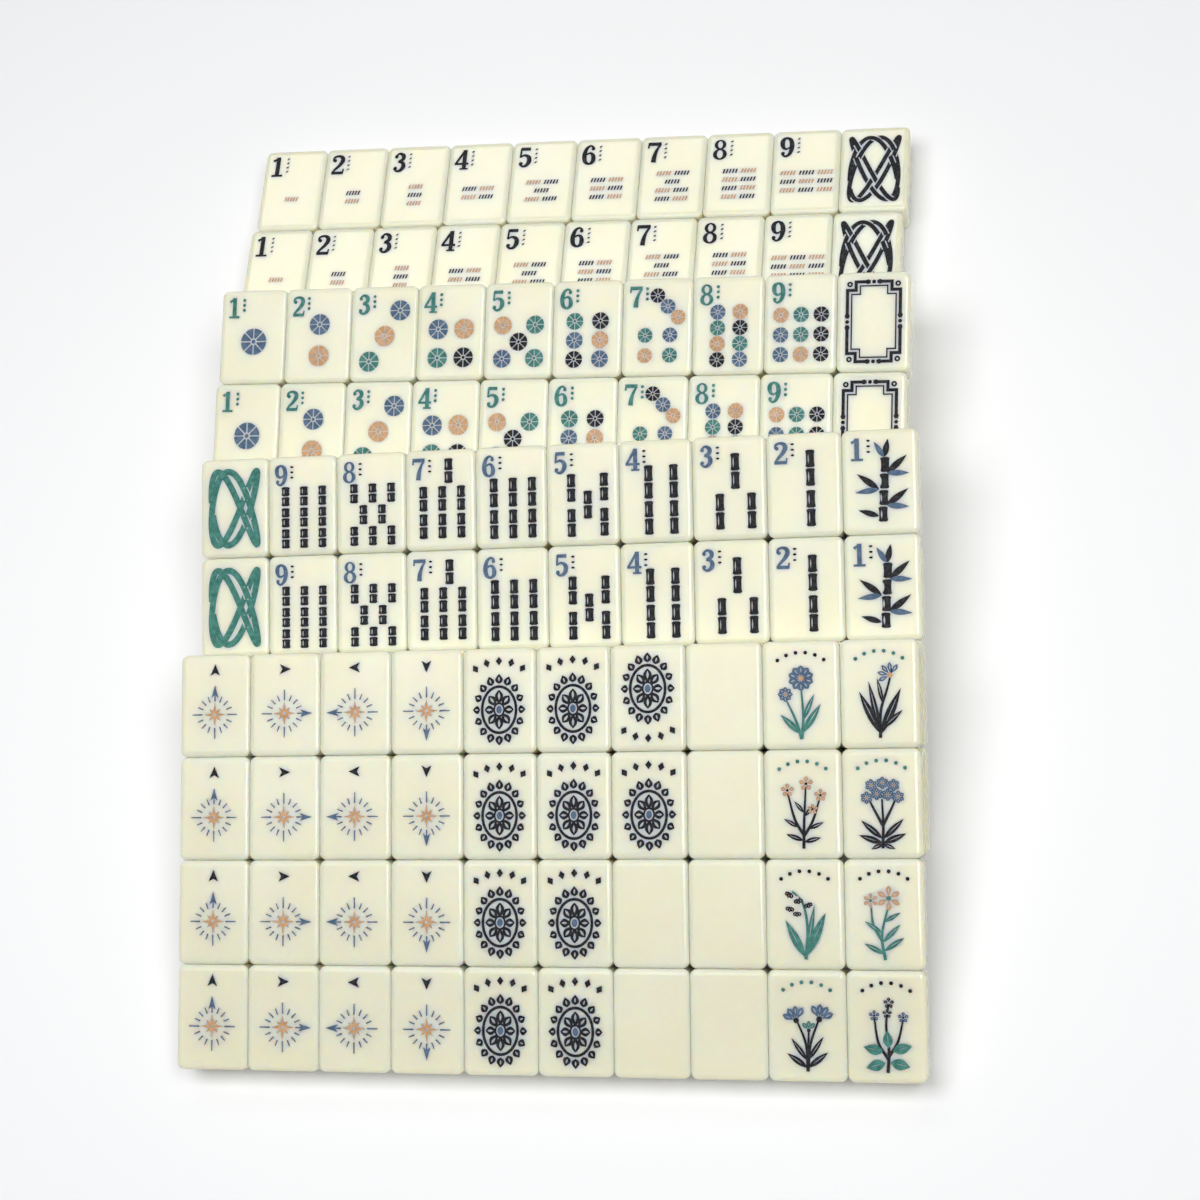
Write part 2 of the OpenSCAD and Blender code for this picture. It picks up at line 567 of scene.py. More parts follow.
@dataclass
class TileBlock:
    """The ivory block of a tile.

    Attributes:
        width: Along x.
        length: Along y.
        thickness: Along z.
        corner_radius: Of the upright corners.
        edge_inset: How far the rounding of an edge reaches in over the face or the back.
        edge_drop: How far it reaches down the side.
        engraved: Depth of the engraving.
        sunk: How far the enamel's top lies below the face.
        clear: Room left below the enamel.
        corner_steps: Steps round each corner.
        edge_steps: Steps round each edge.
    """

    width: float
    length: float
    thickness: float
    corner_radius: float = 2.1
    edge_inset: float = 1.9
    edge_drop: float = 1.1
    engraved: float = 0.35
    sunk: float = 0.07
    clear: float = 0.03
    corner_steps: int = 8
    edge_steps: int = 6

    def ring(self, inset: Array) -> tuple[Array, Array]:
        """The outline seen from above, drawn in by each of some insets.

        A corner's points are its centre + (corner radius - inset) * (cos a, sin a).

        Args:
            inset: K insets.

        Returns:
            The places, K by N by 2, and the N outward directions.
        """
        quarter = np.linspace(0, math.pi / 2, self.corner_steps + 1)
        angles = (quarter + np.arange(4)[:, None] * math.pi / 2).ravel()
        ways = np.column_stack([np.cos(angles), np.sin(angles)])
        signs = np.repeat([[1, 1], [-1, 1], [-1, -1], [1, -1]], len(quarter), axis=0)
        half = np.array([self.width / 2, self.length / 2]) - self.corner_radius
        return signs * half + (self.corner_radius - inset)[:, None, None] * ways, ways

    def border(self) -> Array:
        """Outline of the flat of the face."""
        return self.ring(np.array([self.edge_inset]))[0][0]

    def sides(self) -> Surface:
        """The rounded sides: a wall with a quarter of an ellipse below and above, carried along the ring.

        Returns:
            A closed grid from the back's flat to the face's.
        """
        quarter = np.linspace(0, math.pi / 2, self.edge_steps + 1)
        lift = np.concatenate([quarter - math.pi / 2, quarter])
        z = self.edge_drop * (1 + np.sin(lift))
        z[self.edge_steps + 1 :] += self.thickness - 2 * self.edge_drop
        rings, ways = self.ring(self.edge_inset * (1 - np.cos(lift)))
        places = np.dstack([rings, np.broadcast_to(z[:, None], rings.shape[:2])])
        slope = unit(np.column_stack([self.edge_drop * np.cos(lift), self.edge_inset * np.sin(lift)]))
        normals = np.dstack([
            slope[:, 0, None, None] * ways,
            np.broadcast_to(slope[:, 1, None], rings.shape[:2]),
        ])
        return grid_surface(places, normals)

    def ivory(self, engraving: Engraving) -> Surface:
        """The block, with its face engraved.

        Args:
            engraving: The cut of its face.

        Returns:
            Its closed surface.
        """
        border = self.border()
        fan = np.arange(1, len(border) - 1)
        back = np.column_stack([np.zeros_like(fan), fan, fan + 1])
        cut = engraving.fills > 0
        floor = self.thickness - self.engraved
        return Surface.joined([
            self.sides(),
            flat_surface(border, back, 0.0, up=False),
            flat_surface(engraving.points, engraving.triangles[~cut], self.thickness),
            flat_surface(engraving.points, engraving.triangles[cut], floor),
            wall_surface(engraving.points, engraving.rim(cut)[:, ::-1], floor, self.thickness),
        ])

    def enamel(self, engraving: Engraving, colour: Enamel) -> Surface | None:
        """The enamel of one colour in the engraving.

        Args:
            engraving: The cut of the face.
            colour: The enamel.

        Returns:
            Its closed surface, or None if the face has none of it.
        """
        held = engraving.fills == 1 + ENAMELS.index(colour)
        if not held.any():
            return None
        low, high = self.thickness - self.engraved + self.clear, self.thickness - self.sunk
        triangles = engraving.triangles[held]
        return Surface.joined([
            flat_surface(engraving.points, triangles, high),
            flat_surface(engraving.points, triangles, low, up=False),
            wall_surface(engraving.points, engraving.rim(held), low, high),
        ])


class Numeral:
    """The numerals 1 to 9, drawn with a broad pen in a box one high.

    STROKES holds rows of x, y and width, BALLS the round ends as x, y and radius, BOWLS and HOLES ellipses as
    centre, radii and number of points. A nine is a six turned round.
    """

    STROKES: dict[int, list[list[tuple[float, float, float]]]] = {
        1: [[(0.36, 0.0, 0.2), (0.36, 1.0, 0.2)], [(0.40, 0.95, 0.1), (0.12, 0.8, 0.13)],
            [(0.1, 0.05, 0.1), (0.62, 0.05, 0.1)]],
        2: [[(0.1, 0.7, 0.1), (0.14, 0.87, 0.12), (0.32, 0.94, 0.12), (0.5, 0.87, 0.18), (0.54, 0.69, 0.21),
             (0.41, 0.46, 0.17), (0.2, 0.24, 0.12), (0.1, 0.08, 0.12)],
            [(0.06, 0.075, 0.15), (0.6, 0.075, 0.15)], [(0.575, 0.03, 0.09), (0.615, 0.28, 0.07)]],
        3: [[(0.12, 0.8, 0.1), (0.3, 0.945, 0.11), (0.49, 0.84, 0.19), (0.48, 0.65, 0.18), (0.28, 0.54, 0.1)],
            [(0.26, 0.54, 0.1), (0.47, 0.47, 0.16), (0.53, 0.28, 0.21), (0.42, 0.1, 0.16), (0.25, 0.05, 0.11),
             (0.1, 0.18, 0.1)]],
        4: [[(0.45, 0.96, 0.13), (0.07, 0.32, 0.11)], [(0.02, 0.3, 0.11), (0.66, 0.3, 0.11)],
            [(0.46, 0.0, 0.19), (0.46, 1.0, 0.19)], [(0.27, 0.04, 0.08), (0.65, 0.04, 0.08)]],
        5: [[(0.13, 0.92, 0.16), (0.56, 0.92, 0.16)], [(0.15, 0.95, 0.09), (0.12, 0.5, 0.09)],
            [(0.12, 0.52, 0.08), (0.3, 0.61, 0.11), (0.49, 0.52, 0.18), (0.53, 0.32, 0.21),
             (0.43, 0.11, 0.16), (0.25, 0.05, 0.11), (0.1, 0.17, 0.1)]],
        6: [[(0.54, 0.84, 0.1), (0.38, 0.95, 0.1), (0.2, 0.81, 0.16), (0.12, 0.48, 0.21), (0.17, 0.17, 0.18),
             (0.34, 0.05, 0.11), (0.5, 0.15, 0.18), (0.53, 0.33, 0.2), (0.48, 0.52, 0.15), (0.35, 0.59, 0.1),
             (0.19, 0.5, 0.08)]],
        7: [[(0.07, 0.91, 0.17), (0.63, 0.91, 0.17)], [(0.09, 0.99, 0.08), (0.07, 0.7, 0.08)],
            [(0.6, 0.9, 0.1), (0.44, 0.6, 0.13), (0.35, 0.3, 0.19), (0.32, 0.0, 0.22)]],
    }
    BALLS: dict[int, list[tuple[float, float, float]]] = {
        2: [(0.17, 0.71, 0.09)],
        3: [(0.17, 0.78, 0.085), (0.16, 0.2, 0.09)],
        5: [(0.16, 0.19, 0.09)],
        6: [(0.5, 0.8, 0.085)],
    }
    BOWLS = {8: [((0.33, 0.75), (0.255, 0.25), 20), ((0.33, 0.28), (0.305, 0.28), 22)]}
    HOLES = {8: [((0.33, 0.755), (0.11, 0.17), 14), ((0.33, 0.285), (0.13, 0.2), 16)]}
    WIDTH = 0.66

    @classmethod
    def outlines(cls, number: int) -> list[Array]:
        """A numeral in its box, with its holes not yet taken out.

        Args:
            number: 1 to 9.

        Returns:
            Its outlines.
        """
        if number == 9:
            return [np.array([cls.WIDTH, 1.0]) - outline for outline in cls.outlines(6)]
        strokes = [stroke(rows) for rows in cls.STROKES.get(number, [])]
        balls = [disc((x, y), r, count=10) for x, y, r in cls.BALLS.get(number, [])]
        return strokes + balls + [ellipse(*bowl) for bowl in cls.BOWLS.get(number, [])]

    @classmethod
    def holes(cls, number: int) -> list[Array]:
        """A numeral's closed holes."""
        return [ellipse(*hole) for hole in cls.HOLES.get(number, [])]

    @classmethod
    def patches(cls, number: int, left: float, top: float, height: float, enamel: Enamel) -> list[Patch]:
        """A numeral on a face.

        Args:
            number: 1 to 9.
            left: Left side of its box.
            top: Top of its box.
            height: Height of its box.
            enamel: Its colour.

        Returns:
            Its patches.
        """
        corner = (left, top - height)
        drawn = [moved(o, corner, scale=height) for o in cls.outlines(number)]
        holes = [moved(o, corner, scale=height) for o in cls.holes(number)]
        return filled(drawn, enamel) + filled(holes, None)


@dataclass
class Face:
    """What is engraved on a tile. A plain face has nothing."""

    def patches(self) -> list[Patch]:
        """The patches, in order."""
        return []


@dataclass
class NumberedFace(Face):
    """A suit tile: its numeral at the top left, with a column of small pips beside it.

    Attributes:
        number: 1 to 9.
        numeral_left: Left side of the numeral.
        numeral_top: Top of the numeral.
        numeral_height: Its height.
        pip_count: How many pips.
        pip_gap: From the numeral's right to the middle of the pips.
        pip_drop: From the numeral's top to the middle of the first pip.
        pip_pitch: From each pip to the next.
        pip_reach: From the middle of a pip to its tip, to the right and up.
        pip_width: Width of a pip.
    """

    number: int
    numeral_left: float = -8.8
    numeral_top: float = 12.6
    numeral_height: float = 6.5
    pip_count: int = 3
    pip_gap: float = 1.3
    pip_drop: float = 0.8
    pip_pitch: float = 1.6
    pip_reach: Pair = (0.6, 0.0)
    pip_width: float = 0.7

    def pip(self, spot: Array) -> Array:
        """Outline of the pip at a spot, a small leaf."""
        return leaf(spot - self.pip_reach, spot + self.pip_reach, self.pip_width, count=4)

    def heading(self, numeral: Enamel, pip: Enamel) -> list[Patch]:
        """The numeral, and the column of pips at its right.

        Args:
            numeral: The numeral's colour.
            pip: The pips' colour.

        Returns:
            Their patches.
        """
        left, top, height = self.numeral_left, self.numeral_top, self.numeral_height
        x = left + height * Numeral.WIDTH + self.pip_gap
        levels = top - self.pip_drop - self.pip_pitch * np.arange(self.pip_count)
        pips = [self.pip(np.array([x, level])) for level in levels]
        return Numeral.patches(self.number, left, top, height, numeral) + filled(pips, pip)


@dataclass
class CrakFace(NumberedFace):
    """A crak: a bold numeral over as many tallies, each a row of slanted ticks.

    Attributes:
        tick_count: Ticks in a tally.
        tick_pitch: From each tick to the next.
        tick: Width and height of a tick.
        slant: How far the top of a tick leans to the right of its foot.
        middle: Middle of the tallies.
        row_pitch: From each row of tallies to the next.
        column_pitch: From each tally of a row to the next.
    """

    numeral_height: float = 7.4
    pip_count: int = 4
    pip_reach: Pair = (0.5, 0.3)
    pip_width: float = 0.55
    tick_count: int = 5
    tick_pitch: float = 1.0
    tick: Pair = (0.5, 1.5)
    slant: float = 0.45
    middle: Pair = (0.3, -3.6)
    row_pitch: float = 3.1
    column_pitch: float = 5.9

    # Tallies in each row, from the top
    ROWS = {
        1: (1,), 2: (1, 1), 3: (1, 1, 1), 4: (2, 2), 5: (2, 1, 2),
        6: (2, 2, 2), 7: (2, 1, 2, 2), 8: (2, 2, 2, 2), 9: (3, 3, 3),
    }

    def tally(self, x: float, y: float) -> list[Array]:
        """The ticks of one tally.

        Args:
            x: Its middle, across.
            y: Its middle, up.

        Returns:
            Their outlines.
        """
        wide, high = self.tick
        shape = np.array([[-wide, -high], [wide, -high], [wide, high], [-wide, high]]) / 2
        shape[:, 0] += np.sign(shape[:, 1]) * self.slant / 2
        return [shape + (x + step, y) for step in centred(self.tick_count) * self.tick_pitch]

    def patches(self) -> list[Patch]:
        """The numeral, its pips and the tallies, black and tan by turns.

        Returns:
            The patches, in order.
        """
        found = self.heading(Enamel.BLACK, Enamel.BLACK)
        rows = self.ROWS[self.number]
        top = self.middle[1] + (len(rows) - 1) / 2 * self.row_pitch
        for r, count in enumerate(rows):
            for c, column in enumerate(centred(count)):
                enamel = Enamel.TAN if (r + c + self.number) % 2 else Enamel.BLACK
                x = self.middle[0] + column * self.column_pitch
                found += filled(self.tally(x, top - r * self.row_pitch), enamel)
        return found


@dataclass
class DotFace(NumberedFace):
    """A dot tile: as many spoked wheels as its number, in the four enamels.

    Attributes:
        pip_radius: Radius of a pip.
        spokes: Ivory spokes in a wheel.
        hub_share: Radius inside the wedges, as a share of the wheel's.
        eye_share: Radius of the hub's eye, as a share of the wheel's.
        spoke_share: Width of a spoke, as a share of the wheel's radius.
        rim_points: Points on the outer side of a wedge.
        hub_points: Points on its inner side.
    """

    pip_radius: float = 0.5
    spokes: int = 8
    hub_share: float = 0.27
    eye_share: float = 0.16
    spoke_share: float = 0.1
    rim_points: int = 5
    hub_points: int = 3

    RADII = {1: 4.2, 2: 3.3, 3: 3.2, 4: 3.1, 5: 2.8, 6: 2.6, 7: 2.25, 8: 2.3, 9: 2.3}
    SPOTS = {
        1: [(0.4, -1.6)],
        2: [(0.6, 3.4), (0.6, -6.6)],
        3: [(5.2, 7.2), (0.4, -0.8), (-4.4, -8.8)],
        4: grid((-3.9, 4.4), (0.9, -8.1)),
        5: [(-4.9, 1.6), (5.3, 1.6), (0.2, -3.6), (-4.9, -8.8), (5.3, -8.8)],
        6: grid((-3.9, 4.1), (2.3, -3.6, -9.5)),
        7: [(0.0, 9.6), (3.2, 6.2), (6.4, 2.8), *grid((-3.6, 4.0), (-2.6, -8.8))],
        8: grid((-3.2, 3.6), (4.0, -0.85, -5.7, -10.55)),
        9: grid((-5.8, 0.2, 6.2), (2.6, -3.4, -9.4)),
    }
    ORDER = (Enamel.BLUE, Enamel.TAN, Enamel.TEAL, Enamel.BLACK)
    PLAIN_START = 3  # up to this number, the first wheel has the first enamel of ORDER

    def pip(self, spot: Array) -> Array:
        """Outline of the pip at a spot, a small disc."""
        return disc(spot, self.pip_radius, count=8)

    def wheel(self, spot: Point, radius: float) -> list[Array]:
        """A wheel's wedges and the eye of its hub.

        A wedge is a sector, drawn in from its two spokes by half a spoke's width.

        Args:
            spot: Its centre.
            radius: Its radius.

        Returns:
            The outlines.
        """
        step = 2 * math.pi / self.spokes
        inner, half = self.hub_share * radius, self.spoke_share * radius / 2
        rim, hub = math.asin(half / radius), math.asin(half / inner)
        angles = np.concatenate([
            np.linspace(rim, step - rim, self.rim_points), np.linspace(step - hub, hub, self.hub_points),
        ])
        radii = np.repeat([radius, inner], [self.rim_points, self.hub_points])
        turns = np.arange(self.spokes)[:, None] * step + angles
        wedges = np.stack([radii * np.cos(turns), radii * np.sin(turns)], axis=2)
        return [wedge + spot for wedge in wedges] + [disc(spot, self.eye_share * radius, count=8)]

    def patches(self) -> list[Patch]:
        """The numeral, its pips and the wheels.

        Returns:
            The patches, in order.
        """
        found = self.heading(Enamel.TEAL, Enamel.TEAL)
        enamels = len(self.ORDER)
        start = self.number if self.number > self.PLAIN_START else 0
        for k, spot in enumerate(self.SPOTS[self.number]):
            enamel = self.ORDER[(start + k + k // enamels) % enamels]
            found += filled(self.wheel(spot, self.RADII[self.number]), enamel)
        return found


@dataclass
class BamFace(NumberedFace):
    """A bam tile: as many bamboo sticks as its number, or one leafy shoot on the first.

    Attributes:
        stick_width: Width of a stick at its joints.
        joint_gap: Ivory between the two lengths of a stick.
        waist: Width of a length at its middle, as a share of its ends'.
        end_slope: Height of the sloped corners of a length.
        end_flat: Width of the flat between them, as a share of the end's.
        light_left: How far left of a stick's middle its light lines stand.
        light_width: Their width.
        light_share: Half the length of each, as a share of the stick's.
        shoot_levels: Heights of the middles of the shoot's lengths.
        shoot_length: Height of each.
        shoot_foot: A point that the shoot's middle line passes through.
        shoot_lean: How far that line leans right for each millimetre up.
        shoot_light: Place along x, half length and width of the light lines in the shoot.
        leaf_belly: Share of a leaf's length at which it is widest.
    """

    stick_width: float = 2.7
    joint_gap: float = 0.3
    waist: float = 0.84
    end_slope: float = 0.35
    end_flat: float = 0.6
    light_left: float = 0.5
    light_width: float = 0.36
    light_share: float = 0.15
    shoot_levels: tuple[float, ...] = (-9.3, -4.6, 0.1, 4.8)
    shoot_length: float = 4.3
    shoot_foot: Pair = (0.6, -9.0)
    shoot_lean: float = 0.06
    shoot_light: tuple[float, float, float] = (0.1, 1.3, 0.5)
    leaf_belly: float = 0.42

    # Places of three columns, and the height of the sticks and their middles for each number
    THREE = (-5.2, 0.6, 6.4)
    STICKS = {
        2: (10.4, [(1.8, 4.8), (1.8, -6.8)]),
        3: (10.4, [(1.8, 4.8), (-2.8, -6.8), (6.4, -6.8)]),
        4: (9.8, grid((-2.0, 5.4), (2.7, -7.8))),
        5: (8.2, [(-3.4, 1.9), (6.4, 1.9), (1.5, -3.2), (-3.4, -8.4), (6.4, -8.4)]),
        6: (8.6, grid(THREE, (1.4, -8.0))),
        7: (7.4, [(2.6, 8.6), *grid(THREE, (0.4, -7.8))]),
        8: (5.8, [*grid(THREE, (2.9,)), (-2.3, -3.5), (3.5, -3.5), *grid(THREE, (-9.9,))]),
        9: (5.8, grid(THREE, (2.9, -3.5, -9.9))),
    }

    # Base, tip and width of the shoot's leaves, black and blue by turns
    SHOOT_LEAVES = [
        ((1.6, -6.8), (7.8, -2.2), 1.9), ((1.6, -6.8), (8.0, -7.4), 1.7), ((-0.4, -2.2), (-6.6, 2.4), 1.9),
        ((-0.4, -2.2), (-7.2, -3.0), 1.7), ((1.9, 2.4), (7.6, 7.4), 1.9), ((1.9, 2.4), (8.2, 2.2), 1.7),
        ((1.3, 7.0), (2.4, 12.2), 1.8), ((1.1, 7.0), (-1.6, 11.4), 1.6), ((-0.6, -9.8), (-6.4, -8.0), 1.7),
    ]

    def culm(self, x: float, y: float, height: float) -> Array:
        """Outline of one length of bamboo about a place.

        Its half width is half the stick's * (waist + (1 - waist) * s ** 4), with s from -1 to 1 up it, and
        its ends are flat between two sloped corners.

        Args:
            x: Its middle, across.
            y: Its middle, up.
            height: Its height.

        Returns:
            The outline.
        """
        share = np.linspace(-1, 1, num=7)
        half = self.stick_width / 2 * (self.waist + (1 - self.waist) * share**4)
        side = np.column_stack([half, share * (height / 2 - self.end_slope)])
        top = np.array([[half[-1] * self.end_flat, height / 2], [-half[-1] * self.end_flat, height / 2]])
        return np.concatenate([side, top, (side * (-1, 1))[::-1], -top]) + (x, y)

    def stick(self, x: float, y: float, height: float) -> list[Array]:
        """Two lengths of bamboo, one on the other.

        Args:
            x: The stick's middle, across.
            y: The stick's middle, up.
            height: The stick's height.

        Returns:
            Their outlines.
        """
        part = (height - self.joint_gap) / 2
        shift = (part + self.joint_gap) / 2
        return [self.culm(x, y - shift, part), self.culm(x, y + shift, part)]

    def lights(self, x: float, y: float, height: float) -> list[Array]:
        """The light lines left standing in the two lengths of a stick.

        Args:
            x: The stick's middle, across.
            y: The stick's middle, up.
            height: The stick's height.

        Returns:
            Their outlines.
        """
        x, reach = x - self.light_left, height * self.light_share
        middles = (y - height / 4, y + height / 4)
        return [leaf((x, m - reach), (x, m + reach), self.light_width, count=5) for m in middles]

    def shoot(self) -> list[Patch]:
        """A shoot of four lengths with leaves on both sides.

        Returns:
            The patches, in order.
        """
        foot_x, foot_y = self.shoot_foot
        x, reach, width = self.shoot_light
        culms = [
            self.culm(foot_x + self.shoot_lean * (y - foot_y), y, self.shoot_length)
            for y in self.shoot_levels
        ]
        lights = [leaf((x, y - reach), (x, y + reach), width, count=5) for y in self.shoot_levels]
        leaves = [
            leaf(base, tip, wide, count=9, belly=self.leaf_belly) for base, tip, wide in self.SHOOT_LEAVES
        ]
        found = filled(culms, Enamel.BLACK) + filled(lights, None)
        return found + filled(leaves[::2], Enamel.BLACK) + filled(leaves[1::2], Enamel.BLUE)

    def patches(self) -> list[Patch]:
        """The numeral, its pips and the bamboo.

        Returns:
            The patches, in order.
        """
        found = self.heading(Enamel.BLUE, Enamel.BLACK)
        if self.number == 1:
            return found + self.shoot()
        height, spots = self.STICKS[self.number]
        found += filled([o for x, y in spots for o in self.stick(x, y, height)], Enamel.BLACK)
        return found + filled([o for x, y in spots for o in self.lights(x, y, height)], None)


@dataclass
class KnotFace(Face):
    """A dragon tile: an endless woven knot.

    The knot's line is (a sin(m t + pi / 4n), b sin(n t)), and it passes over and under itself by turns.

    Attributes:
        enamel: Its colour.
        waves: m and n.
        reach: a and b.
        band: Width of the line.
        seam: Ivory left beside the line that passes over.
        over_share: Half the length of a stretch that passes over, as a share of half the width to be passed.
        over_lap: How much longer than its seams its band is.
        steps: Steps of the line.
        over_points: Points on the line of a stretch that passes over.
    """

    enamel: Enamel
    waves: tuple[int, int] = (3, 4)
    reach: Pair = (7.6, 11.2)
    band: float = 1.35
    seam: float = 0.4
    over_share: float = 1.25
    over_lap: float = 1.1
    steps: int = 240
    over_points: int = 5

    FINER = 4  # crossings are looked for in steps this many times finer
    APART = 2  # steps no further apart than this on the line don't count as crossing
    MOMENT = 0.01  # time before and after a crossing between which the line's speed is taken

    def line(self, t: Array, width: float) -> Array:
        """The knot's line.

        Args:
            t: Times on it.
            width: Its width.

        Returns:
            A row of x, y and width for each time.
        """
        x = self.reach[0] * np.sin(self.waves[0] * t + math.pi / (4 * self.waves[1]))
        y = self.reach[1] * np.sin(self.waves[1] * t)
        return np.column_stack([x, y, np.full(len(t), width)])

    def crossings(self) -> Array:
        """Finds where the line crosses itself.

        Two steps, from a along d and from b along e, cross where a + u d = b + v e with u and v from 0 to 1.

        Returns:
            The times, in order, two for each crossing.
        """
        t = np.linspace(0, 2 * math.pi, self.steps * self.FINER + 1)
        p = self.line(t, 0)[:, :2]
        a, d = p[:-1], np.diff(p, axis=0)
        gap = a[None] - a[:, None]
        cross = d[:, None, 0] * d[None, :, 1] - d[:, None, 1] * d[None, :, 0]
        with np.errstate(divide="ignore", invalid="ignore"):
            u = (gap[..., 0] * d[None, :, 1] - gap[..., 1] * d[None, :, 0]) / cross
            v = (gap[..., 0] * d[:, None, 1] - gap[..., 1] * d[:, None, 0]) / cross
        i, j = np.nonzero((u >= 0) & (u < 1) & (v >= 0) & (v < 1))
        apart = np.minimum(abs(i - j), len(a) - abs(i - j)) > self.APART
        i, j = i[apart], j[apart]
        return np.sort(t[i] + u[i, j] * (t[1] - t[0]))

    def patches(self) -> list[Patch]:
        """The band, and over it each stretch that passes over, between two seams of ivory.

        Returns:
            The patches, in order.
        """
        t = np.linspace(0, 2 * math.pi, self.steps + 1)
        found = filled([ribbon(self.line(t, self.band))], self.enamel)
        for over in self.crossings()[::2]:
            moment = np.array([over - self.MOMENT, over + self.MOMENT])
            speed = np.linalg.norm(np.diff(self.line(moment, 0), axis=0)) / (2 * self.MOMENT)
            half = (self.band / 2 + self.seam) * self.over_share / speed
            reach = np.linspace(-half, half, self.over_points)
            bare = self.line(over + reach, self.band + 2 * self.seam)
            band = self.line(over + reach * self.over_lap, self.band)
            found += filled([ribbon(bare)], None) + filled([ribbon(band)], self.enamel)
        return found


@dataclass
class FrameFace(Face):
    """The white dragon: an open frame of two lines with stepped corners.

    A bead stands in each step, and an eye between two leaves in the middle of each side.

    Attributes:
        half: Half its width and height.
        notch: Depth of the stepped corners.
        outer: Width of the outer line.
        inner: Width of the inner line.
        gap: From the middle of the one line to the middle of the other.
        bead_inset: From the frame's full width and height in to the middle of a bead.
        bead: Radii of a bead and of its hole.
        eye: Radii of the ivory cleared round an eye and of the eye.
        leaf_ends: From the middle of an eye to the start and the tip of a leaf.
        leaf_width: Width of a leaf.
        leaf_belly: Share of a leaf's length at which it is widest.
    """

    half: Pair = (7.75, 12.0)
    notch: float = 2.5
    outer: float = 0.95
    inner: float = 0.4
    gap: float = 1.25
    bead_inset: float = 0.7
    bead: Pair = (0.85, 0.35)
    eye: Pair = (1.0, 0.6)
    leaf_ends: Pair = (1.0, 3.0)
    leaf_width: float = 1.5
    leaf_belly: float = 0.35

    def stepped(self, inset: float) -> Array:
        """Corners of the frame's outline.

        Args:
            inset: How far it is drawn in.

        Returns:
            The outline.
        """
        x, y = self.half[0] - inset, self.half[1] - inset
        n = self.notch
        quarter = np.array([[x, y - n], [x - n, y - n], [x - n, y]])
        return np.concatenate([
            quarter, (quarter * (-1, 1))[::-1], -quarter, (quarter * (1, -1))[::-1],
        ])

    def line(self, inset: float, width: float) -> list[Patch]:
        """A line of the frame: the frame's outline, with a smaller one taken out of it."""
        outside, inside = self.stepped(inset - width / 2), self.stepped(inset + width / 2)
        return [Patch(outside, Enamel.BLACK), Patch(inside, None)]

    def patches(self) -> list[Patch]:
        """The two lines, the beads, and the eyes with their leaves.

        Returns:
            The patches, in order.
        """
        black = Enamel.BLACK
        found = self.line(0.0, self.outer) + self.line(self.gap, self.inner)
        for signs in ((-1, -1), (-1, 1), (1, -1), (1, 1)):
            spot = np.subtract(self.half, self.bead_inset) * signs
            bead, hole = self.bead
            found += [Patch(disc(spot, bead, count=12), black), Patch(disc(spot, hole, count=8), None)]
        x, y = self.half
        for spot, way in (((0, y), (1, 0)), ((0, -y), (1, 0)), ((x, 0), (0, 1)), ((-x, 0), (0, 1))):
            near, far = np.outer(self.leaf_ends, way)
            clear, eye = self.eye
            found += [Patch(disc(spot, clear, count=14), None), Patch(disc(spot, eye, count=10), black)]
            found += filled([
                leaf(spot + s * near, spot + s * far, self.leaf_width, count=6, belly=self.leaf_belly)
                for s in (-1, 1)
            ], black)
        return found


@dataclass
class WindFace(Face):
    """A wind tile: a compass rose whose long needle points to the wind, under a small arrow head.

    Attributes:
        bearing: Degrees from up, clockwise.
        middle: Centre of the rose.
        star: Radii of the star's points and of its hollows.
        star_points: Number of its points.
        short_share: Length of every second point, as a share of the others'.
        eye: Radius of the star's eye.
        rays: Number of thin rays.
        ray_start: From the centre to the start of a ray.
        ray_ends: From the centre to the end of every fourth ray, and of the others.
        ray_widths: Width of a ray at its start and at its end.
        head_middle: Middle of the arrow head.
    """

    bearing: float
    middle: Pair = (0.0, -2.6)
    star: Pair = (3.4, 1.15)
    star_points: int = 8
    short_share: float = 0.72
    eye: float = 0.55
    rays: int = 16
    ray_start: float = 3.9
    ray_ends: Pair = (7.0, 5.7)
    ray_widths: Pair = (0.4, 0.24)
    head_middle: Pair = (0.0, 10.4)

    # Outlines of the needle and the arrow head, pointing up
    NEEDLE = np.array([[1.1, 4.9], [0.0, 8.6], [-1.1, 4.9], [0.0, 5.8]])
    HEAD = np.array([[1.5, -1.5], [0.0, 1.9], [-1.5, -1.5], [0.0, -0.7]])

    def ray(self, number: int) -> Array:
        """A ray of the rose.

        Args:
            number: Its place, from 0 for the one that points to the wind.

        Returns:
            Its outline.
        """
        near, far = self.ray_start, self.ray_ends[0 if number % 4 == 0 else 1]
        foot, end = self.ray_widths[0] / 2, self.ray_widths[1] / 2
        shape = np.array([[foot, near], [end, far], [-end, far], [-foot, near]])
        return moved(shape, self.middle, -self.bearing + number * 360 / self.rays)

    def rose(self) -> Array:
        """The star: points and hollows by turns, every second point a short one.

        Returns:
            Its outline.
        """
        place = np.arange(2 * self.star_points)
        angles = place * math.pi / self.star_points + math.pi / 2
        radii = np.where(place % 2, self.star[1], self.star[0])
        radii = radii * np.where(place % 4 == 2, self.short_share, 1.0)
        shape = np.column_stack([np.cos(angles), np.sin(angles)]) * radii[:, None]
        return moved(shape, self.middle, -self.bearing)

    def patches(self) -> list[Patch]:
        """The rays, the needle, the star and the arrow head.

        Returns:
            The patches, in order.
        """
        needle = moved(self.NEEDLE, self.middle, -self.bearing)
        found = filled([*(self.ray(k) for k in range(self.rays)), needle], Enamel.BLUE)
        found += filled([self.rose()], Enamel.TAN) + filled([disc(self.middle, self.eye, count=10)], None)
        return found + filled([moved(self.HEAD, self.head_middle, -self.bearing)], Enamel.BLACK)


